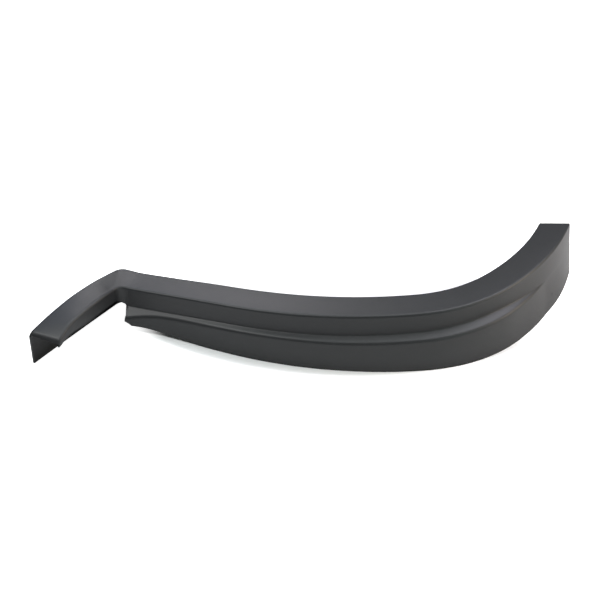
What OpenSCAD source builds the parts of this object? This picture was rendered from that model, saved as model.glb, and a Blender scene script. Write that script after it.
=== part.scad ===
// Wheel arch trim: one injection-moulded shell, open at the back, lying on its back edges.
// A channel runs from the tip of the leg, round the corner and along the whole arch.
// A stepped flange (ledge and skirt) starts behind the notch at the corner and
// fades into the outer wall before the end cut. Millimetres, +Z is the outer face.

/* [Shell] */
// Thickness of the moulded wall
wall = 2.6; // [2:0.1:3.2]
// Outside radius of the rounded long edges
edge_r = 4.5; // [4:0.5:6]
// Draft of the outer walls, degrees
draft = 5; // [2:0.5:7]
// Draft of the wall on the wheel side, degrees
wheel_draft = 3; // [1:0.5:5]
// Rise of the crowned face above its two edges
crown_rise = 0.4; // [0.2:0.1:1.6]

/* [Arch in plan] */
// Turn of the whole part in its box, degrees
set_angle = -20.8; // [-24:0.1:-16]
// Straight stretch behind the corner
lead_in = 151; // [120:1:190]
// Radius of the long middle arc
middle_r = 550; // [450:5:700]
// Sweep of the long middle arc, degrees
middle_sweep = 27; // [20:1:32]
// Radius of the tight shoulder arc
shoulder_r = 206; // [180:1:260]
// Sweep of the shoulder arc, degrees
shoulder_sweep = 35.8; // [28:0.1:42]
// Radius of the last arc
pillar_r = 333; // [280:1:420]
// Sweep of the last arc, degrees
pillar_sweep = 29.3; // [20:0.1:34]
// Angle between the end cut and a square cut, degrees
end_skew = 18; // [0:1:25]

/* [Arch section] */
// Height of the face at the corner
corner_height = 56; // [52:1:62]
// Height of the face a quarter of the way along
quarter_height = 68.5; // [62:0.5:72]
// Height of the face half way along
middle_height = 76.5; // [72:0.5:79]
// Height of the face over the shoulder
shoulder_height = 81; // [79:0.5:86]
// Height of the face at the end cut
end_height = 82; // [78:0.5:88]
// Width of the face at the corner
corner_width = 38.5; // [34:0.5:44]
// Width of the face half way along
middle_width = 44; // [38:0.5:48]
// Width of the face at the end cut
end_width = 40; // [34:0.5:44]
// Depth of the step wall along the arch
step_depth = 27; // [22:0.5:32]
// Depth of the step wall where the ledge fades out
step_depth_end = 30; // [24:0.5:33]

// How far the step wall leans out where the ledge fades out
merge_flare = 2; // [0:0.5:3]

/* [Stepped flange] */
// Distance of the flange's free end from the corner
flange_start = 11; // [9:0.5:16]
// Ledge width at the flange's free end
ledge_start = 21.5; // [15:0.5:23]
// Ledge width at its waist
ledge_waist = 8.5; // [7:0.5:11]
// Ledge width half way along
ledge_middle = 11.5; // [9:0.5:14]
// Ledge width at the shoulder, its widest
ledge_shoulder = 13.5; // [11:0.5:17]
// Fall of the ledge towards the skirt, degrees
ledge_fall = 20; // [12:1:26]
// Lift of the skirt's edge at the flange's free end
skirt_lift = 12; // [8:0.5:15]
// How far the ledge's outer edge stops short of its root at the free end
ledge_slant = 6.5; // [0:0.5:10]
// How far the skirt's foot stops short of the ledge's root at the free end
skirt_slant = 14; // [4:0.5:18]

/* [Leg] */
// Inside angle between the leg and the arch on the wheel side, degrees
leg_angle = 107.5; // [100:0.5:115]
// Length of the leg on the wheel side
leg_length = 174; // [150:1:200]
// Width of the leg's face at the corner
leg_corner_width = 26.5; // [22:0.5:29]
// Width of the leg's face half way along
leg_middle_width = 35; // [30:0.5:40]
// Width of the leg's face at the tip
leg_tip_width = 45; // [40:0.5:54]
// Height of the leg's face at its hump
leg_hump_height = 67.5; // [62:0.5:71]
// Height of the leg's face at the tip
leg_tip_height = 57; // [52:0.5:62]
// Depth of the leg's inner wall at the corner
leg_wall_corner = 18.5; // [15:0.5:23]
// Depth of the leg's inner wall half way along
leg_wall_middle = 21; // [18:0.5:26]
// Depth of the leg's inner wall at the tip, from where the face would be without rolling over
leg_wall_tip = 7.5; // [7:0.5:11]
// How far the crease stops short of the wheel-side edge at the tip
tip_slant = 9; // [4:0.5:14]
// How far the foot of the wheel-side wall stops short of its top at the tip
tip_setback = 5; // [0:0.5:8]
// Radius to which the face rolls over at the tip
tip_roll = 5; // [3:0.5:7]
// Outside radius of the leg's rounded crease
leg_edge_r = 8; // [5:0.5:10]
// Inside radius of the crease round the corner, in plan
crease_corner_r = 14; // [6:0.5:15]
// Outside radius of the corner on the wheel side, in plan
wheel_corner_r = 15; // [6:0.5:16]

/* [Back of the moulding] */
// Number of stiffening ribs across the arch
rib_count = 7; // [3:1:9]
// Thickness of a stiffening rib
rib_thickness = 1.8; // [1.4:0.1:2.4]
// Depth of a rib below the inside of the face
rib_depth = 12; // [8:0.5:16]
// Number of clip seats along the skirt
seat_count = 4; // [2:1:5]
// Length of a clip seat along the skirt
seat_length = 26; // [22:1:34]
// Depth of a clip seat from the skirt inwards
seat_depth = 22; // [20:1:28]
// Height of a clip seat's side webs
seat_height = 18; // [14:1:24]
// Diameter of the clip hole
clip_hole_d = 9; // [7:0.5:11]
// Height of the seat plate above the back edge
seat_recess = 3; // [2:0.5:5]
// Number of screw holes in the wheel-side wall
screw_count = 5; // [2:1:7]
// Diameter of a screw hole
screw_hole_d = 5.5; // [4.5:0.1:6.5]
// Diameter of the round boss round a screw hole
screw_boss_d = 16; // [13:0.5:20]
// Height of a boss off the inside of the wall
screw_boss_rise = 1.6; // [1:0.1:3]
// Height of the screw holes above the back edge
screw_height = 16; // [13:0.5:24]

/* [Hidden] */
trim_grey = [0.29, 0.3, 0.31];

// Facet counts: rings along each stretch, steps round an edge, sides of a bore
arch_rings = 48;
fan_rings = 12;
leg_rings = 16;
edge_steps = 4;
bore_fn = 48;

// A rib's upper corners are cut back to the middle of the rounded edge of the shell
rib_corner = edge_r * (2 - sqrt(2)) - wall * (1 - sqrt(0.5));
draft_run = tan(draft);
wheel_run = tan(wheel_draft);
fall_run = tan(ledge_fall);

// Points and directions in plan. A heading is measured from +X, in degrees.
function along(h) = [cos(h), sin(h)];
function lift(p, z) = [p[0], p[1], z];
function mix(a, b, t) = a + (b - a) * t;

// Arch: four stretches of the crease, each a length and a turn
arch_stretches = [
    [lead_in, 0],
    [middle_r * middle_sweep * PI / 180, middle_sweep],
    [shoulder_r * shoulder_sweep * PI / 180, shoulder_sweep],
    [pillar_r * pillar_sweep * PI / 180, pillar_sweep],
];
arch_length = arch_stretches[0][0] + arch_stretches[1][0]
    + arch_stretches[2][0] + arch_stretches[3][0];

// Offset after going d along a stretch of a given length and turn, from heading h
function travel(d, length, turn, h) =
    turn == 0 ? d * along(h) :
    let (r = length / (turn * PI / 180), h1 = h + turn * d / length)
    r * [sin(h1) - sin(h), cos(h) - cos(h1)];

// Place and heading of the crease at distance s from the corner
function crease(s, i = 0, p = [0, 0], h = set_angle) =
    let (
        last = i == len(arch_stretches) - 1,
        length = arch_stretches[i][0],
        turn = arch_stretches[i][1],
        d = last ? s : min(s, length),
        q = p + travel(d, length, turn, h),
        h1 = h + turn * d / length
    )
    (last || s <= length) ? [q, h1] : crease(s - length, i + 1, q, h1);

// Smooth curve through a few design stations [place, value]
function slope_at(pts, i) =
    let (a = max(i - 1, 0), b = min(i + 1, len(pts) - 1))
    (pts[b][1] - pts[a][1]) / (pts[b][0] - pts[a][0]);
function span_of(u, pts, i = 0) =
    (i >= len(pts) - 2 || u < pts[i + 1][0]) ? i : span_of(u, pts, i + 1);
function smooth(u, pts) =
    let (
        v = min(max(u, pts[0][0]), pts[len(pts) - 1][0]),
        i = span_of(v, pts),
        h = pts[i + 1][0] - pts[i][0],
        t = (v - pts[i][0]) / h
    )
    pts[i][1] * (2 * pow(t, 3) - 3 * pow(t, 2) + 1)
    + slope_at(pts, i) * h * (pow(t, 3) - 2 * pow(t, 2) + t)
    + pts[i + 1][1] * (3 * pow(t, 2) - 2 * pow(t, 3))
    + slope_at(pts, i + 1) * h * (pow(t, 3) - pow(t, 2));

// Section of the arch, by fraction u of its length
function face_height(u) = smooth(u, [[0, corner_height], [0.25, quarter_height],
    [0.5, middle_height], [0.75, shoulder_height], [1, end_height]]);
function face_width(u) = smooth(u, [[0, corner_width], [0.3, middle_width],
    [0.7, middle_width * 0.98], [1, end_width]]);
function step_at(u) = smooth(u, [[0, step_depth], [0.2, step_depth], [0.42, step_depth * 1.06],
    [0.6, step_depth], [0.74, step_depth * 0.93], [0.88, step_depth_end], [1, step_depth_end]]);
function flare(u) = smooth(u, [[0.72, 0], [0.84, merge_flare], [0.92, merge_flare / 2], [1, 0]]);
function step_out(u) = step_at(u) * draft_run + flare(u);
function ledge_at(u) = smooth(u, [[0, ledge_start], [0.08, ledge_waist], [0.2, ledge_waist],
    [0.4, ledge_middle], [0.6, ledge_shoulder], [0.72, ledge_shoulder * 0.94],
    [0.8, ledge_shoulder * 0.46], [0.87, ledge_shoulder * 0.05],
    [0.9, ledge_shoulder * 0.03], [1, ledge_shoulder * 0.03]]);
function skirt_edge(u) = max(0, smooth(u, [[0, skirt_lift], [0.06, skirt_lift * 0.88],
    [0.12, skirt_lift * 0.35], [0.19, 0], [1, 0]]));

// Section of the leg: its edge on the wheel side, by distance d from the corner, then
// its crease, width and inner wall, by fraction v from the corner to the tip
function corner_to_hump(t) = mix(corner_height, leg_hump_height, t);
function tip_to_hump(t) = mix(leg_tip_height, leg_hump_height, t);
function leg_edge_height(d) = smooth(d / leg_length, [[0, corner_to_hump(0.13)],
    [0.25, corner_to_hump(0.74)], [0.5, leg_hump_height], [0.72, tip_to_hump(0.76)],
    [0.9, tip_to_hump(0.38)], [1, leg_tip_height]]);
function leg_height(v) = smooth(v, [[0, corner_to_hump(0.17)], [0.18, corner_to_hump(0.78)],
    [0.38, leg_hump_height], [0.58, tip_to_hump(0.86)], [0.8, tip_to_hump(0.52)],
    [0.91, tip_to_hump(0.35)], [1, leg_tip_height]]);
function leg_width(v) = smooth(v, [[0, leg_corner_width],
    [0.15, mix(leg_corner_width, leg_middle_width, 0.5)], [0.5, leg_middle_width],
    [0.8, mix(leg_middle_width, leg_tip_width, 0.4)], [1, leg_tip_width]]);
// Drop of the face where it rolls over, by distance d from the tip
function rolled(d) = let (x = 1 - min(d / tip_roll, 1)) tip_roll * (1 - sqrt(1 - x * x));
function leg_wall(v) = smooth(v, [[0, leg_wall_corner], [0.3, leg_wall_middle],
    [0.58, leg_wall_middle], [0.82, leg_wall_middle * 0.68], [1, leg_wall_tip]]);
function rolled_wall(v, drop) = max(leg_wall(v) - drop, wall * 1.2);

// Corner. The crease's virtual corner is at the origin, the wheel-side one behind it.
leg_heading = set_angle - leg_angle;
arch_dir = along(set_angle);
leg_dir = along(leg_heading);
arch_out = along(set_angle - 90);
leg_out = along(leg_heading + 90);
corner_shift = (leg_corner_width + corner_width * cos(leg_angle)) / sin(leg_angle);
wheel_corner = -arch_dir * corner_shift - arch_out * corner_width;
crease_on_leg = -wheel_corner * leg_dir;
leg_crease_length = leg_length - tip_slant - crease_on_leg;
function wheel_on_leg(d) = wheel_corner + leg_dir * d;
function crease_on_leg_at(v) =
    wheel_on_leg(crease_on_leg + v * leg_crease_length) + leg_out * leg_width(v);

// Rounding of both edges round the corner. The crease leaves it slightly splayed.
leg_splay = atan((leg_width(0.05) - leg_width(0)) / (0.05 * leg_crease_length));
crease_angle = leg_angle - leg_splay;
crease_tangent = crease_corner_r / tan(crease_angle / 2);
crease_centre = (arch_dir + along(leg_heading + leg_splay)) * crease_corner_r
    / sin(crease_angle);
wheel_tangent = wheel_corner_r / tan(leg_angle / 2);
wheel_centre = wheel_corner + (arch_dir + leg_dir) * wheel_corner_r / sin(leg_angle);
leg_from = crease_tangent / leg_crease_length;

// A station holds one cross-section: crease point, its outward direction and height,
// then the same for the wheel side, then the depth of the step wall and how far the
// foot of the wheel-side wall is set back, the step wall's foot leans out, and the
// crease is rounded. On the arch the step wall ends within the thickness of the ledge.
function arch_station(s) =
    let (c = crease(s), u = s / arch_length, n = along(c[1] - 90))
    [c[0], n, face_height(u), c[0] - n * face_width(u), -n, face_height(u),
        step_at(u) + wall / 2, [0, 0], flare(u), edge_r];
function leg_station(t) =
    let (
        v = mix(leg_from, 1, t),
        d = mix(crease_on_leg + leg_from * leg_crease_length, leg_length, t),
        drop = rolled(leg_length - d)
    )
    [crease_on_leg_at(v), leg_out, leg_height(v) - drop, wheel_on_leg(d), -leg_out,
        leg_edge_height(d) - drop, rolled_wall(v, drop), -leg_dir * tip_setback * t, 0,
        min(mix(edge_r, leg_edge_r, min(1, 3 * t)), rolled_wall(v, drop) * 0.9)];
function wheel_fan(t) =
    let (
        a = arch_station(crease_tangent),
        b = wheel_corner + arch_dir * wheel_tangent,
        c = wheel_on_leg(wheel_tangent),
        d = leg_station(0),
        h = set_angle + 90 + (180 - leg_angle) * min(max(2 * t - 0.5, 0), 1),
        z = t < 0.5 ? mix(a[5], leg_edge_height(0), 2 * t) : mix(leg_edge_height(0), d[5], 2 * t - 1)
    )
    t < 0.25 ? [mix(a[3], b, 4 * t), along(h), z] :
    t > 0.75 ? [mix(c, d[3], 4 * t - 3), along(h), z] :
    [wheel_centre + along(h) * wheel_corner_r, along(h), z];
function fan_station(t) =
    let (
        a = arch_station(crease_tangent),
        b = leg_station(0),
        n = along(set_angle - 90 + (180 - crease_angle) * t),
        w = wheel_fan(t)
    )
    [crease_centre - n * crease_corner_r, n, mix(a[2], b[2], t), w[0], w[1], w[2],
        mix(a[6], b[6], t), [0, 0], 0, edge_r];

// Channel section. Wheel-side points come from station w, crease-side points from c.
function turn_up(p, n, z, outer, inset, a) =
    lift(p - n * outer, z - outer) + lift(n * (outer - inset) * cos(a), (outer - inset) * sin(a));
function channel_outer(w, c) = concat(
    [lift(w[3] + w[7] + w[4] * w[5] * wheel_run, 0)],
    [for (i = [0 : edge_steps]) turn_up(w[3], w[4], w[5], edge_r, 0, 90 * i / edge_steps)],
    [lift((w[3] + c[0]) / 2, (w[5] + c[2]) / 2 + crown_rise)],
    [for (i = [0 : edge_steps]) turn_up(c[0], c[1], c[2], c[9], 0, 90 - 90 * i / edge_steps)],
    [lift(c[0] + c[1] * (c[6] * draft_run + c[8]), c[2] - c[6])]
);
function channel_inner(w, c) = concat(
    [lift(w[3] + w[7] + w[4] * (w[5] * wheel_run - wall), 0)],
    [for (i = [0 : edge_steps]) turn_up(w[3], w[4], w[5], edge_r, wall, 90 * i / edge_steps)],
    [lift((w[3] + c[0]) / 2, (w[5] + c[2]) / 2 + crown_rise - wall)],
    [for (i = [0 : edge_steps]) turn_up(c[0], c[1], c[2], c[9], wall, 90 - 90 * i / edge_steps)],
    [lift(c[0] + c[1] * (c[6] * draft_run + c[8] - wall), c[2] - c[6])]
);

// The end cut is skewed, so each edge of the section ends at its own distance
skew_run = tan(end_skew);
function arch_s(t, o) = mix(crease_tangent, arch_length + o * skew_run, t);
channel_stations = concat(
    [for (i = [leg_rings : -1 : 1]) let (s = leg_station(1 - pow(1 - i / leg_rings, 1.6))) [s, s]],
    [for (i = [fan_rings : -1 : 1]) let (s = fan_station(i / fan_rings)) [s, s]],
    [for (i = [0 : arch_rings]) let (t = i / arch_rings)
        [arch_station(arch_s(t, -end_width)), arch_station(arch_s(t, 0))]]
);

// Flange section at distance s along the crease: ledge, rounded edge and skirt
function bend(a, b, c, t) = a * (1 - t) * (1 - t) + b * 2 * t * (1 - t) + c * t * t;
function flange_point(s, o, z) = let (c = crease(s)) lift(c[0] + along(c[1] - 90) * o, z);
function ledge_z(u) = face_height(u) - step_at(u);
function flange_round(u) = min(edge_r, ledge_at(u) * 0.6);
function skirt_top(u) = [
    step_out(u) + ledge_at(u),
    ledge_z(u) - ledge_at(u) * fall_run
];
function skirt_foot(u) =
    let (p = skirt_top(u)) [p[0] + (p[1] - skirt_edge(u)) * draft_run, skirt_edge(u)];
function flange_edge(u, t, in) =
    let (p = skirt_top(u) - [in, in], r = flange_round(u))
    bend(p + [-r, r * fall_run], p, p + [r * draft_run, -r], t);
function flange_outer(u) = concat(
    [[step_out(u) - wall * 0.7, ledge_z(u) + wall * 0.7 * fall_run]],
    [for (i = [0 : edge_steps]) flange_edge(u, i / edge_steps, 0)],
    [skirt_foot(u)]
);
function flange_inner(u) = concat(
    [[step_out(u) - wall, ledge_z(u) - wall]],
    [for (i = [0 : edge_steps]) flange_edge(u, i / edge_steps, wall)],
    [skirt_foot(u) - [wall, 0]]
);
// The free end leans back towards the foot of the skirt, and the far end is skewed
function flange_lead(j) = j == 0 ? 0 : j == edge_steps + 2 ? skirt_slant : ledge_slant;
function flange_ring(t, inside) = [
    for (j = [0 : edge_steps + 2])
        let (
            s_end = arch_length + (skirt_top(1)[0] + (j == edge_steps + 2 ? skirt_top(1)[1]
                * draft_run : 0)) * skew_run,
            s = mix(flange_start + flange_lead(j), s_end, t),
            u = s / arch_length,
            p = inside ? flange_inner(u)[j] : flange_outer(u)[j]
        )
        flange_point(s, p[0], p[1])
];

// Everything is set so that the box of the part is centred on the origin
channel_rings = [for (s = channel_stations)
    [channel_outer(s[0], s[1]), channel_inner(s[0], s[1])]];
flange_rings = [for (i = [0 : arch_rings])
    [flange_ring(i / arch_rings, false), flange_ring(i / arch_rings, true)]];
outline = concat([for (r = channel_rings) each r[0]], [for (r = flange_rings) each r[0]]);
xs = [for (p = outline) p[0]];
ys = [for (p = outline) p[1]];
box_centre = [(min(xs) + max(xs)) / 2, (min(ys) + max(ys)) / 2];

// Solid skin between the outer and inner lists of each ring
module shell(rings) {
    n = len(rings[0][0]);
    m = len(rings);
    points = [for (r = rings) each concat(r[0], [for (i = [n - 1 : -1 : 0]) r[1][i]])];
    size = 2 * n;
    sides = [for (k = [0 : m - 2], i = [0 : size - 1])
        let (a = k * size + i, b = k * size + (i + 1) % size)
        each [[a, b + size, b], [a, a + size, b + size]]];
    caps = [for (i = [0 : n - 2])
        let (a = i, b = i + 1, c = size - 2 - i, d = size - 1 - i, e = (m - 1) * size)
        each [[a, b, c], [a, c, d], [e + a, e + c, e + b], [e + a, e + d, e + c]]];
    polyhedron(points, concat(sides, caps));
}

// Place on the crease: +X along the arch, +Y towards the wheel
module at_crease(s) {
    c = crease(s);
    translate(lift(c[0], 0)) rotate(c[1]) children();
}

// Rib across the channel, haunched at both walls
module rib(s) {
    u = s / arch_length;
    h = face_height(u);
    w = face_width(u);
    top = h - wall / 2;
    foot = h - step_at(u) + wall;
    mid = h - wall - rib_depth;
    function step_side(z) = -(h - z) * draft_run + wall / 2;
    function wheel_side(z) = w + (h - z) * wheel_run - wall / 2;
    at_crease(s)
        rotate([90, 0, 90])
            translate([0, 0, -rib_thickness / 2])
                linear_extrude(rib_thickness)
                    polygon([
                        [step_side(top - rib_corner), top - rib_corner],
                        [step_side(top) + rib_corner, top],
                        [wheel_side(top) - rib_corner, top],
                        [wheel_side(top - rib_corner), top - rib_corner],
                        [wheel_side(foot), foot],
                        [w * 0.75, mid],
                        [w * 0.25, mid],
                        [step_side(foot), foot],
                    ]);
}

// Seat for a push-in clip: a drilled plate between two webs on the inside of the skirt
module clip_seat(s) {
    u = s / arch_length;
    edge = skirt_foot(u);
    function skirt_side(z) = -(edge[0] - (z - edge[1]) * draft_run) + wall / 2;
    low = edge[1] + seat_recess;
    high = low + seat_height;
    at_crease(s) {
        translate([-seat_length / 2, skirt_side(low), low])
            cube([seat_length, seat_depth, wall]);
        for (side = [-1, 1])
            translate([side * (seat_length - rib_thickness) / 2 - rib_thickness / 2, 0, 0])
                rotate([90, 0, 90])
                    linear_extrude(rib_thickness)
                        polygon([
                            [skirt_side(low), low],
                            [skirt_side(low) + seat_depth, low],
                            [skirt_side(low) + seat_depth, low + wall * 1.5],
                            [skirt_side(high) + wall, high],
                            [skirt_side(high), high],
                        ]);
    }
}
module clip_hole(s) {
    edge = skirt_foot(s / arch_length);
    at_crease(s)
        translate([0, -edge[0] + seat_depth / 2 + wall / 2, edge[1] + seat_recess - wall])
            cylinder(h = 3 * wall, d = clip_hole_d, $fn = bore_fn);
}

// Round boss on the inside of the wheel-side wall, and the screw hole through both
module at_screw(s) {
    u = s / arch_length;
    wall_y = face_width(u) + (face_height(u) - screw_height) * wheel_run;
    at_crease(s) translate([0, wall_y, screw_height]) rotate([90, 0, 0]) children();
}
module screw_boss(s) {
    at_screw(s) translate([0, 0, wall / 2])
        cylinder(h = wall / 2 + screw_boss_rise, d = screw_boss_d, $fn = bore_fn);
}
module screw_hole(s) {
    at_screw(s) translate([0, 0, -wall])
        cylinder(h = 3 * wall + screw_boss_rise, d = screw_hole_d, $fn = bore_fn);
}

// Even spacing over a part of the arch
function spread(count, from, to) =
    [for (i = [0 : count - 1]) arch_length * mix(from, to, (i + 0.5) / count)];
rib_places = spread(rib_count, 0.06, 0.98);
seat_places = spread(seat_count, 0.26, 0.96);
screw_places = spread(screw_count, 0.02, 0.96);

module arch_trim() {
    color(trim_grey)
        translate(-lift(box_centre, 0))
            difference() {
                union() {
                    shell(channel_rings);
                    shell(flange_rings);
                    for (s = rib_places) rib(s);
                    for (s = seat_places) clip_seat(s);
                    for (s = screw_places) screw_boss(s);
                }
                for (s = seat_places) clip_hole(s);
                for (s = screw_places) screw_hole(s);
            }
}
arch_trim();
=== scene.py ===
from math import atan, cos, degrees, pi, radians, sin, sqrt, tan

import bmesh
import bpy
from mathutils import Matrix, Vector


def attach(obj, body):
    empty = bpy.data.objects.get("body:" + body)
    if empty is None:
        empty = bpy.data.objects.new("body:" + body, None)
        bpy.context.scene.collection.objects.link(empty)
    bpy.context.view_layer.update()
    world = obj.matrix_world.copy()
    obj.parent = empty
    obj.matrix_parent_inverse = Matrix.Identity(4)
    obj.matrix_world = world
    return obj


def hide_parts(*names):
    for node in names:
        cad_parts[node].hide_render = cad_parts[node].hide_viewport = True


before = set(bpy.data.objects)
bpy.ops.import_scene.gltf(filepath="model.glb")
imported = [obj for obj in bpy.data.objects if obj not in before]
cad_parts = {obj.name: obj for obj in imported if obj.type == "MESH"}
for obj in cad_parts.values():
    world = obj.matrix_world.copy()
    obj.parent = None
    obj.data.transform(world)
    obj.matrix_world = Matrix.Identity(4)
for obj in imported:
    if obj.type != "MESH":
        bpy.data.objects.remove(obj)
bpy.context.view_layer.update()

# Wheel arch trim: a one-piece shell of dark grey, fine-grained polypropylene, injection-moulded
# and open at the back, with ribs, clip seats and screw bosses inside. Push-in clips and screws
# hold it to the body. Sizes are in millimetres, heights are from the back edges.
wall = 2.6
edge_r = 3.6
end_edge_r = 1.6
draft = tan(radians(5))
wheel_draft = tan(radians(3))
crown = 0.4

# The arch's line on the floor: where its corner lies, the heading it starts with, and its
# stretches, each with a length and a turn in degrees
corner_place = (-251.614, 3.08437)
set_angle = -20.8
stretches = [
    (151, 0),
    (550 * radians(27), 27),
    (206 * radians(35.8), 35.8),
    (333 * radians(29.3), 29.3),
]
arch_length = sum(length for length, turn in stretches)
end_skew = tan(radians(18))


def along(heading):
    return Vector((cos(radians(heading)), sin(radians(heading))))


def mix(a, b, t):
    return a + (b - a) * t


def at_height(place, height):
    return Vector((place[0], place[1], height))


def crease(s):
    """Place and heading of the crease at distance s from the corner."""
    place, heading = Vector((0, 0)), set_angle
    for i, (length, turn) in enumerate(stretches):
        last = i == len(stretches) - 1
        part = s if last or s <= length else length
        if turn:
            radius = length / radians(turn)
            a, b = radians(heading), radians(heading + turn * part / length)
            place = place + radius * Vector((sin(b) - sin(a), cos(a) - cos(b)))
            heading = degrees(b)
        else:
            place = place + part * along(heading)
        if part == s:
            return place, heading
        s -= length


def smooth(u, stations):
    """Smooth curve through a few design stations (place, value)."""
    u = min(max(u, stations[0][0]), stations[-1][0])
    i = 0
    while i < len(stations) - 2 and u >= stations[i + 1][0]:
        i += 1

    def slope(k):
        a, b = stations[max(k - 1, 0)], stations[min(k + 1, len(stations) - 1)]
        return (b[1] - a[1]) / (b[0] - a[0])

    step = stations[i + 1][0] - stations[i][0]
    t = (u - stations[i][0]) / step
    return (
        stations[i][1] * (2 * t**3 - 3 * t**2 + 1)
        + slope(i) * step * (t**3 - 2 * t**2 + t)
        + stations[i + 1][1] * (3 * t**2 - 2 * t**3)
        + slope(i + 1) * step * (t**3 - t**2)
    )


# The arch's own sizes, from the corner (u = 0) to its right end (u = 1)
least_ledge = 0.26
steepening_width = 3


def face_height(u):
    return smooth(u, [(0, 57), (0.03, 57.5), (0.25, 68.5), (0.5, 76.5), (0.75, 81), (1, 82)])


def face_width(u):
    return smooth(u, [(0, 38.5), (0.3, 44), (0.7, 43), (1, 40)])


def step_depth(u):
    return smooth(u, [(0, 27), (0.2, 27), (0.42, 28.6), (0.6, 27), (0.74, 25.1), (0.88, 30), (1, 30)])


def step_out(u):
    belly = smooth(u, [(0.72, 0), (0.84, 2), (0.91, 0.8), (0.96, -0.2), (1, -0.9)])
    return step_depth(u) * draft + belly


def ledge_width(u):
    stations = [(0, 20), (0.08, 8.3), (0.2, 8.7), (0.4, 11.5), (0.6, 13.5)]
    stations += [(0.72, 12.7), (0.8, 6.2), (0.86, 0.7), (0.89, 0), (1, 0)]
    return max(least_ledge, smooth(u, stations))


def ledge_fall(u):
    return tan(radians(smooth(u, [(0, 30), (0.14, 27), (0.32, 15), (0.45, 19), (0.7, 20), (1, 20)])))


def skirt_flare(u):
    stations = [(0, 0), (0.72, 0), (0.79, 0.8), (0.85, 2)]
    return smooth(u, stations + [(0.9, 2.4), (0.94, 1.5), (0.97, 0.3), (1, -0.9)])


def skirt_edge(u):
    return max(0, smooth(u, [(0, 10.4), (0.05, 9.2), (0.12, 3.4), (0.19, 0), (1, 0)]))


# The leg's own sizes, from the corner (v = 0) to its tip (v = 1)
leg_length = 174
leg_angle = 107.5
leg_edge_r = 5
tip_lean = 5
tip_roll = 6
tip_roll_share = 0.93
tip_slant = 9
least_leg_wall = 1.2 * wall
deepest_edge = 0.9
leg_heading = set_angle - leg_angle
arch_dir = along(set_angle)
leg_dir = along(leg_heading)
leg_out = along(leg_heading + 90)


def leg_edge_height(distance):
    stations = [(0, 57.9), (0.04, 58.5), (0.14, 61.2), (0.28, 64.7), (0.42, 66.3)]
    stations += [(0.54, 66.6), (0.65, 65.3), (0.77, 62.9), (0.9, 59), (1, 55)]
    return smooth(distance / leg_length, stations)


def leg_height(v):
    stations = [(0, 58), (0.04, 58.3), (0.14, 61), (0.26, 63.7), (0.4, 65)]
    return smooth(v, stations + [(0.55, 65.3), (0.69, 65), (0.81, 63), (0.91, 59.2), (1, 54.4)])


def leg_width(v):
    return smooth(v, [(0, 26.5), (0.15, 30.75), (0.5, 35), (0.8, 39), (1, 45)])


def leg_wall(v):
    return smooth(v, [(0, 18.5), (0.3, 20.5), (0.58, 19.5), (0.82, 13), (1, 7)])


# The corner, where the crease and the wheel-side edge turn about different centres
crease_r = 14
wheel_r = 15
corner_shift = (leg_width(0) + face_width(0) * cos(radians(leg_angle))) / sin(radians(leg_angle))
wheel_corner = -arch_dir * corner_shift - along(set_angle - 90) * face_width(0)
crease_on_leg = -wheel_corner.dot(leg_dir)
leg_crease_length = leg_length - tip_slant - crease_on_leg
near_corner = 0.05
widening = (leg_width(near_corner) - leg_width(0)) / (near_corner * leg_crease_length)
crease_angle = leg_angle - degrees(atan(widening))
crease_tangent = crease_r / tan(radians(crease_angle / 2))
crease_centre = (arch_dir + along(set_angle - crease_angle)) * crease_r / sin(radians(crease_angle))
wheel_tangent = wheel_r / tan(radians(leg_angle / 2))
wheel_centre = wheel_corner + (arch_dir + leg_dir) * wheel_r / sin(radians(leg_angle))
leg_from = crease_tangent / leg_crease_length


# A station holds the crease (place, outward, height, radius), the wheel-side edge (edge,
# wheelward, edge_height) and the outer wall below the crease (depth, out, lean)
def arch_station(s):
    place, heading = crease(s)
    u, outward = s / arch_length, along(heading - 90)
    return dict(
        place=place,
        outward=outward,
        height=face_height(u),
        radius=smooth(u, [(0, edge_r), (0.84, edge_r), (1, end_edge_r)]),
        edge=place - outward * face_width(u),
        wheelward=-outward,
        edge_height=face_height(u),
        depth=step_depth(u),
        out=step_out(u),
        lean=0,
    )


def leg_station(t):
    """From the corner to the tip, where the face rolls over and the wall runs out."""
    v = mix(leg_from, 1, t)
    distance = mix(crease_on_leg + leg_from * leg_crease_length, leg_length, t)
    rolled = tip_roll_share * (1 - min((leg_length - distance) / tip_roll, 1))
    drop = tip_roll * (1 - sqrt(1 - rolled**2))
    depth = max(leg_wall(v) - drop, least_leg_wall)
    return dict(
        place=wheel_corner + leg_dir * (crease_on_leg + v * leg_crease_length) + leg_out * leg_width(v),
        outward=leg_out,
        height=leg_height(v) - drop,
        radius=min(mix(edge_r, leg_edge_r, min(1, 3 * t)), deepest_edge * depth),
        edge=wheel_corner + leg_dir * distance,
        wheelward=-leg_out,
        edge_height=leg_edge_height(distance) - drop,
        depth=depth,
        out=depth * draft,
        lean=tip_lean * t,
    )


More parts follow.
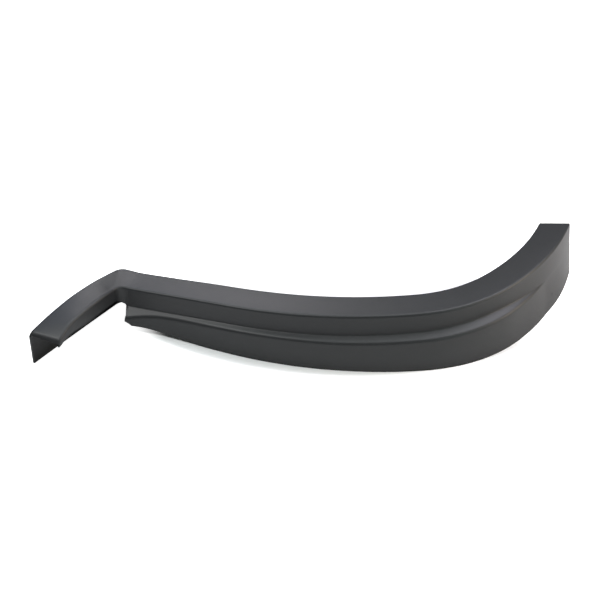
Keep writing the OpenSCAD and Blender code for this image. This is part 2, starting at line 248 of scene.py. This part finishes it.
def corner_station(t):
    """The crease turns evenly. The wheel-side edge runs straight for the first and the last
    quarter, and turns between them."""
    a, b = arch_station(crease_tangent), leg_station(0)
    outward = along(set_angle - 90 + (180 - crease_angle) * t)
    wheelward = along(set_angle + 90 + (180 - leg_angle) * min(max(2 * t - 0.5, 0), 1))
    edge = wheel_centre + wheelward * wheel_r
    if t < 0.25:
        edge = mix(a["edge"], wheel_corner + arch_dir * wheel_tangent, 4 * t)
    if t > 0.75:
        edge = mix(wheel_corner + leg_dir * wheel_tangent, b["edge"], 4 * t - 3)
    edge_height = leg_edge_height(max(0, (edge - wheel_corner).dot(leg_dir)))
    if t < 0.25:
        edge_height = mix(a["edge_height"], edge_height, 4 * t)
    return dict(
        place=crease_centre - outward * crease_r,
        outward=outward,
        height=mix(a["height"], b["height"], t * t * (3 - 2 * t)),
        radius=mix(a["radius"], b["radius"], t),
        edge=edge,
        wheelward=wheelward,
        edge_height=edge_height,
        depth=mix(a["depth"], b["depth"], t),
        out=mix(a["out"], b["out"], t),
        lean=0,
    )


# Sections of the outer skin
wall_steps, edge_steps, face_steps, crease_steps, step_steps = 6, 8, 8, 10, 4
fillet_steps, lip_steps, skirt_steps = 5, 8, 5
fillet_r = 1.8
fillet_growth = 6
fillet_share = 0.3
lip_share = 0.6
flange_start = 11
ledge_lead = 4.4
skirt_lead = 13.5
crown_fade = 1 / 8
leads = [0] * (fillet_steps + 1) + [ledge_lead / 2] + [ledge_lead] * (lip_steps + 1)
leads += [mix(ledge_lead, skirt_lead, (i + 1) / skirt_steps) for i in range(skirt_steps)]


def rounded(place, outward, height, radius, angle):
    """Point on a rounded edge, at an angle above its side."""
    middle = at_height(place - outward * radius, height - radius)
    return middle + at_height(outward * radius * cos(angle), radius * sin(angle))


def channel_section(wheel_side, crease_side, step=None, rise=crown):
    """Outer skin from the foot of the wheel-side wall to the foot of the step wall."""
    edge, wheelward, edge_height = (wheel_side[key] for key in ("edge", "wheelward", "edge_height"))
    place, outward, height = (crease_side[key] for key in ("place", "outward", "height"))
    flare = wheelward * edge_height * wheel_draft
    foot = at_height(edge + flare - leg_dir * wheel_side["lean"], 0)
    step = step or at_height(place + outward * crease_side["out"], height - crease_side["depth"])
    up = [
        rounded(edge, wheelward, edge_height, edge_r, pi / 2 * i / edge_steps)
        for i in range(edge_steps + 1)
    ]
    down = [
        rounded(place, outward, height, crease_side["radius"], pi / 2 * (1 - i / crease_steps))
        for i in range(crease_steps + 1)
    ]
    face = [
        mix(up[-1], down[0], i / face_steps) + Vector((0, 0, rise * (1 - (2 * i / face_steps - 1) ** 2)))
        for i in range(1, face_steps)
    ]
    wheel_wall = [mix(foot, up[0], i / wall_steps) for i in range(wall_steps)]
    step_wall = [mix(down[-1], step, i / step_steps) for i in range(1, step_steps + 1)]
    return wheel_wall + up + face + down + step_wall


def bend(a, b, c, t):
    """Curve from a to c that heads for b on its way."""
    return a * (1 - t) ** 2 + b * 2 * t * (1 - t) + c * t**2


def flange_profile(u, grown):
    """Offsets and heights from the step wall's foot: fillet, ledge, rounded lip, skirt.
    Where the ledge narrows it steepens, until it lies in one surface with the wall."""
    width = ledge_width(u)
    root = Vector((step_out(u), face_height(u) - step_depth(u)))
    ledge = Vector((width, -width * ledge_fall(u) - max(0, steepening_width - width)))
    ledge_dir = ledge.normalized()
    top = root + ledge
    low = skirt_edge(u)
    foot = Vector((top[0] + (top[1] - low) * draft + skirt_flare(u), low))
    round_in = min(fillet_r * grown, fillet_share * ledge.length)
    round_out = min(smooth(u, [(0, 5), (0.2, 4), (1, 3.6)]), lip_share * ledge.length)
    wall_above = root + Vector((-round_in * draft, round_in))
    skirt_below = top + Vector((round_out * draft, -round_out))
    fillet = [
        bend(wall_above, root, root + ledge_dir * round_in, i / fillet_steps)
        for i in range(fillet_steps + 1)
    ]
    lip = [
        bend(top - ledge_dir * round_out, top, skirt_below, i / lip_steps)
        for i in range(lip_steps + 1)
    ]
    skirt = [mix(lip[-1], foot, i / skirt_steps) for i in range(1, skirt_steps + 1)]
    return fillet + [mix(fillet[-1], lip[0], 0.5)] + lip + skirt


def arch_section(t):
    """Channel and flange together. The flange's free end leans back towards the skirt's
    foot, and the far end is cut askew, so each point has its own distance along the arch."""
    flange = []
    for k, lead in enumerate(leads):
        reach = flange_profile(1, 1)[k][0] * end_skew
        s = mix(flange_start + lead, arch_length + reach, t)
        grown = min(1, (s - flange_start - lead) / fillet_growth)
        out, height = flange_profile(s / arch_length, grown)[k]
        place, heading = crease(s)
        flange.append(at_height(place + along(heading - 90) * out, height))
    wheel_side = arch_station(mix(flange_start, arch_length - face_width(1) * end_skew, t))
    crease_side = arch_station(mix(flange_start, arch_length, t))
    rise = crown * min(1, (1 - t) / crown_fade)
    return channel_section(wheel_side, crease_side, flange[0], rise) + flange[1:]


leg_rings, corner_rings, arch_rings = 44, 28, 150
tip_crowding = 1.6
weld = 0.02
stations = [leg_station(1 - (1 - i / leg_rings) ** tip_crowding) for i in range(leg_rings, 0, -1)]
stations += [corner_station(i / corner_rings) for i in range(corner_rings, -1, -1)]
stations += [arch_station(flange_start)]
leg_and_corner = [channel_section(station, station) for station in stations]
arch = [arch_section(i / arch_rings) for i in range(arch_rings + 1)]


def skin(name, sheets):
    """One mesh from sheets of rings, in metres, moved to the frame's origin."""
    mesh = bmesh.new()
    for sheet in sheets:
        rows = []
        for ring in sheet:
            rows.append([mesh.verts.new((at_height(corner_place, 0) + point) / 1000) for point in ring])
        for a, b in zip(rows, rows[1:]):
            for k in range(len(a) - 1):
                mesh.faces.new((a[k], a[k + 1], b[k + 1], b[k]))
    bmesh.ops.remove_doubles(mesh, verts=mesh.verts, dist=weld / 1000)
    return as_object(name, mesh)


def as_object(name, mesh):
    data = bpy.data.meshes.new(name)
    mesh.to_mesh(data)
    made = bpy.data.objects.new(name, data)
    bpy.context.collection.objects.link(made)
    return made


def apply_modifiers(piece):
    drawn = piece.evaluated_get(bpy.context.evaluated_depsgraph_get())
    data = bpy.data.meshes.new_from_object(drawn)
    piece.modifiers.clear()
    piece.data = data


trim = skin("trim", [leg_and_corner, arch])
thickness = trim.modifiers.new("wall", "SOLIDIFY")
thickness.thickness = wall / 1000
thickness.offset = -1
thickness.use_quality_normals = True
apply_modifiers(trim)
for vertex in trim.data.vertices:
    vertex.co.z = max(vertex.co.z, 0)


def spread(count, start, end):
    return [arch_length * mix(start, end, (i + 0.5) / count) for i in range(count)]


# What is inside the channel: ribs, seats for push-in clips, and round bosses for screws
rib_places = spread(7, 0.06, 0.98)
clip_places = spread(4, 0.26, 0.96)
screw_places = spread(5, 0.02, 0.96)
rib_wall = 1.8
rib_room = 12
rib_gap = 1.5 * wall
rib_steps = 16
seat_lift = 3
seat_depth = 22
seat_width = 26
gusset_height = 18
gusset_front = 4
gusset_top = 3
clip_hole_r = 4.5
clip_hole_span = (-3, 6)
screw_height = 16
boss_r = 8
boss_rise = 1.6
screw_hole_r = 2.75
screw_hole_span = (-3, 9)
shortest_edge = 0.005
sharp_angle = 50


def on_crease(s):
    """Frame at the crease, in metres: X along the arch, Y towards the wheel, Z up."""
    place, heading = crease(s)
    start = (at_height(corner_place, 0) + at_height(place, 0)) / 1000
    turn = Matrix.Rotation(radians(heading), 4, "Z")
    return Matrix.Translation(start) @ turn @ Matrix.Scale(0.001, 4)


def plate(mesh, place, outline, low, high):
    """A flat web: an outline of (across, up) pairs, from low to high along the arch."""
    ends = [[mesh.verts.new(place @ Vector((x, a, b))) for a, b in outline] for x in (low, high)]
    count = len(outline)
    mesh.faces.new(ends[0][::-1])
    mesh.faces.new(ends[1])
    for k in range(count):
        following = (k + 1) % count
        mesh.faces.new((ends[0][k], ends[0][following], ends[1][following], ends[1][k]))


def bar(mesh, place, radius, low, high):
    """A round bar along the local Z of its place."""
    middle = place @ Matrix.Translation((0, 0, (low + high) / 2))
    bmesh.ops.create_cone(
        mesh, cap_ends=True, segments=64, radius1=radius, radius2=radius, depth=high - low, matrix=middle
    )


def rib(s):
    """A web across the channel, chamfered to clear the rounded edges, with an arched free edge."""
    u = s / arch_length
    width = face_width(u)
    top = face_height(u) - wall / 2
    foot = top - step_depth(u) + rib_gap
    hollow = top - wall / 2 - rib_room
    chamfer = edge_r * (2 - sqrt(2)) - wall * (1 - sqrt(0.5))

    def outer(z):
        return -(top + wall / 2 - z) * draft + wall / 2

    def inner(z):
        return width + (top + wall / 2 - z) * wheel_draft - wall / 2

    shoulder = top - chamfer
    roof = [(outer(shoulder), shoulder), (outer(top) + chamfer, top)]
    roof += [(inner(top) - chamfer, top), (inner(shoulder), shoulder)]
    free_edge = []
    for i in range(rib_steps + 1):
        t = i / rib_steps
        across = mix(inner(foot), outer(foot), t)
        free_edge.append((across, hollow - (hollow - foot) * (2 * t - 1) ** 4))
    plate(inside, on_crease(s), roof + free_edge, -rib_wall / 2, rib_wall / 2)


def clip_seat(s):
    """A shelf behind the skirt's foot, on two gussets, with a hole for a push-in clip."""
    out, low = flange_profile(s / arch_length, 1)[-1]
    low += seat_lift
    top = low + gusset_height

    def skin_at(z):
        return -(out - (z - low + seat_lift) * draft) + wall / 2

    back = skin_at(low)
    shelf = [(back, low), (back + seat_depth, low), (back + seat_depth, low + wall), (back, low + wall)]
    gusset = [(back, low), (back + seat_depth, low), (back + seat_depth, low + gusset_front)]
    gusset += [(skin_at(top) + gusset_top, top), (skin_at(top), top)]
    plate(inside, on_crease(s), shelf, -seat_width / 2, seat_width / 2)
    for x in (-seat_width / 2, seat_width / 2 - rib_wall):
        plate(inside, on_crease(s), gusset, x, x + rib_wall)
    hole = Matrix.Translation((0, seat_depth / 2 + wall / 2 - out, low))
    bar(drills, on_crease(s) @ hole, clip_hole_r, *clip_hole_span)


def screw_boss(s):
    """A round boss on the inside of the wheel-side wall, with a hole for a screw."""
    u = s / arch_length
    across = face_width(u) + (face_height(u) - screw_height) * wheel_draft
    place = on_crease(s) @ Matrix.Translation((0, across, screw_height)) @ Matrix.Rotation(pi / 2, 4, "X")
    bar(inside, place, boss_r, wall / 2, wall + boss_rise)
    bar(drills, place, screw_hole_r, *screw_hole_span)


inside = bmesh.new()
drills = bmesh.new()
for s in rib_places:
    rib(s)
for s in clip_places:
    clip_seat(s)
for s in screw_places:
    screw_boss(s)
for mesh in (inside, drills):
    bmesh.ops.recalc_face_normals(mesh, faces=mesh.faces)
fittings = as_object("fittings", inside)
drill_bits = as_object("drill_bits", drills)
for piece in (trim, fittings):
    drilled = piece.modifiers.new("holes", "BOOLEAN")
    drilled.operation = "DIFFERENCE"
    drilled.object = drill_bits
    drilled.solver = "EXACT"
    drilled.use_self = piece is fittings
    apply_modifiers(piece)
with bpy.context.temp_override(active_object=trim, selected_editable_objects=[trim, fittings]):
    bpy.ops.object.join()
bpy.data.objects.remove(drill_bits)
joined = bmesh.new()
joined.from_mesh(trim.data)
bmesh.ops.dissolve_degenerate(joined, dist=shortest_edge / 1000, edges=joined.edges)
joined.to_mesh(trim.data)
trim.data.shade_smooth()
trim.data.set_sharp_from_angle(angle=radians(sharp_angle))


class Shade:
    """A shader socket. Arithmetic on it adds Math nodes, node() adds any other node."""

    def __init__(self, tree, socket=None):
        self.tree = tree
        self.socket = socket

    def node(self, kind, settings=None, inputs=None, out=0):
        made = self.tree.nodes.new("ShaderNode" + kind)
        for name, value in (settings or {}).items():
            setattr(made, name, value)
        for name, value in (inputs or {}).items():
            if isinstance(value, Shade):
                self.tree.links.new(value.socket, made.inputs[name])
            else:
                made.inputs[name].default_value = value
        return Shade(self.tree, made.outputs[out] if made.outputs else None)

    def math(self, operation, *values):
        return self.node("Math", {"operation": operation}, dict(enumerate(values)))

    def blend(self, share, first, second):
        """A colour between two, by a share from 0 to 1."""
        return self.node("Mix", {"data_type": "RGBA"}, {0: share, 6: first, 7: second}, 2)

    def __add__(self, other):
        return self.math("ADD", self, other)

    def __mul__(self, other):
        return self.math("MULTIPLY", self, other)

    __radd__ = __add__
    __rmul__ = __mul__


# Moulded polypropylene: near black, satin, with a fine grain and a faint cloudiness
plastic = bpy.data.materials.new("trim_plastic")
plastic.use_nodes = True
plastic.node_tree.nodes.clear()
shade = Shade(plastic.node_tree)
place = shade.node("TexCoord", out="Object")
grain = shade.node("TexNoise", inputs={"Vector": place, "Scale": 1100.0, "Detail": 2.0})
cloud = shade.node("TexNoise", inputs={"Vector": place, "Scale": 14.0, "Detail": 3.0})
surface = shade.node("BsdfPrincipled", inputs={
    "Base Color": shade.blend(cloud, (0.018, 0.0192, 0.021, 1), (0.022, 0.0232, 0.025, 1)),
    "Roughness": 0.39 + 0.06 * (cloud + grain),
    "Normal": shade.node("Bump", inputs={"Height": grain, "Strength": 0.35, "Distance": 0.00012}),
    "IOR": 1.49,
})
shade.node("OutputMaterial", inputs={"Surface": surface})
trim.data.materials.clear()
trim.data.materials.append(plastic)
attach(trim, "root")
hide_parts("arch_trim")

# Floor: a matt white sheet, which the trim lies on. To the camera alone it also glows white:
# painted light that covers the trim's cast shadow all round, except in a narrow band along the
# skirt's foot, where the trim's own soft shadow stays. Sizes are in metres from here on.
floor_reach = 12
floor_grid = bmesh.new()
bmesh.ops.create_grid(floor_grid, x_segments=1, y_segments=1, size=floor_reach)
floor = as_object("floor", floor_grid)
paint = bpy.data.materials.new("floor_white")
paint.use_nodes = True
paint.node_tree.nodes.clear()
shade = Shade(paint.node_tree)
black, grey, white = (0, 0, 0, 1), (0.44, 0.44, 0.44, 1), (1, 1, 1, 1)
camera_ray = shade.node("LightPath", out="Is Camera Ray")
glossy_ray = shade.node("LightPath", out="Is Glossy Ray")
transmission_ray = shade.node("LightPath", out="Is Transmission Ray")
spot = shade.node("NewGeometry", out="Position")


def painted_light_beyond(centre, start, full):
    """0 inside the start radius round a centre, 1 outside the full radius."""
    distance = shade.node("VectorMath", {"operation": "DISTANCE"}, {0: spot, 1: centre}, "Value")
    fade = {0: distance, 1: start, 2: full, 3: 0.0, 4: 1.0}
    return shade.node("MapRange", {"interpolation_type": "SMOOTHSTEP"}, fade)


skirt_centre, skirt_radius = (0.0545, 0.35, 0), 0.456
beyond_skirt = painted_light_beyond(skirt_centre, skirt_radius + 0.002, skirt_radius + 0.021)
shadow_middle = (0.04, -0.08, 0)
beyond_ends = painted_light_beyond(shadow_middle, 0.232, 0.285)
# Painted light: the floor glows white to the camera outside both circles, over the trim's shadow
painted_floor_light = camera_ray * shade.math("MAXIMUM", beyond_ends, beyond_skirt)
surface = shade.node("BsdfPrincipled", inputs={
    "Base Color": shade.blend(camera_ray + glossy_ray + transmission_ray, grey, white),
    "Roughness": 1.0,
    "Specular IOR Level": 0.0,
    "Emission Color": shade.blend(painted_floor_light, black, white),
    "Emission Strength": 1.0,
})
shade.node("OutputMaterial", inputs={"Surface": surface})
floor.data.materials.append(paint)

# Studio: a white room to the camera, dim to the trim, and eight soft lamps. Most of the light
# comes from above, behind and both sides, and the long low lamp in front fills the walls.
world = bpy.data.worlds.new("studio")
world.use_nodes = True
world.node_tree.nodes.clear()
shade = Shade(world.node_tree)
camera_ray = shade.node("LightPath", out="Is Camera Ray")
room = shade.node("Background", inputs={"Color": shade.blend(camera_ray, (0.07, 0.07, 0.07, 1), white)})
shade.node("OutputWorld", inputs={"Surface": room})
bpy.context.scene.world = world
for name, place, target, wide, tall, power, tint in (
    ("back", (-0.24, 0.95, 0.79), (-0.15, 0, 0.05), 0.4, 0.4, 3.2, (1, 0.97, 1)),
    ("key", (0.8, 0.4, 1.3), (0.2, 0, 0.05), 0.7, 0.7, 10.9, (0.92, 0.9, 1)),
    ("left", (-0.86, -0.16, 1.35), (-0.2, 0, 0.05), 0.4, 0.4, 8.0, (1, 1, 1)),
    ("top", (-0.05, 0.2, 1.7), (-0.05, 0, 0.05), 1.8, 1.2, 14.2, (0.93, 1, 1)),
    ("right", (1.0, -0.1, 0.4), (0.4, 0, 0.0), 0.5, 0.4, 4.7, (1, 0.86, 0.72)),
    ("front", (0.9, -0.8, 0.6), (0.3, 0, 0.05), 0.6, 0.6, 1.4, (0.7, 1, 0.95)),
    ("low", (-0.1, -1.9, 0.9), (0, 0, 0.05), 2.4, 0.9, 2.6, (0.95, 1, 0.9)),
    ("rear", (-0.7, 0.9, 1.1), (-0.2, 0, 0.05), 0.6, 0.6, 1.5, (0.6, 0.7, 1)),
):
    lamp = bpy.data.lights.new(name, "AREA")
    lamp.shape = "RECTANGLE"
    lamp.size = wide
    lamp.size_y = tall
    lamp.energy = power
    lamp.color = tint
    holder = bpy.data.objects.new(name, lamp)
    holder.location = place
    holder.rotation_euler = (Vector(target) - Vector(place)).to_track_quat("-Z", "Y").to_euler()
    holder.visible_camera = False
    bpy.context.collection.objects.link(holder)

# Camera: in front of the trim and above it, looking down 38 degrees through a long lens, as
# worked out from the photograph.
looking_down = 38
lens = bpy.data.cameras.new("camera")
lens.lens = 126
lens.sensor_width = 36
camera = bpy.data.objects.new("camera", lens)
camera.location = (-0.012214, -2.18862, 1.74603)
camera.rotation_euler = (radians(90 - looking_down), 0, 0)
bpy.context.collection.objects.link(camera)
bpy.context.scene.camera = camera
bpy.context.scene.view_settings.view_transform = "Standard"
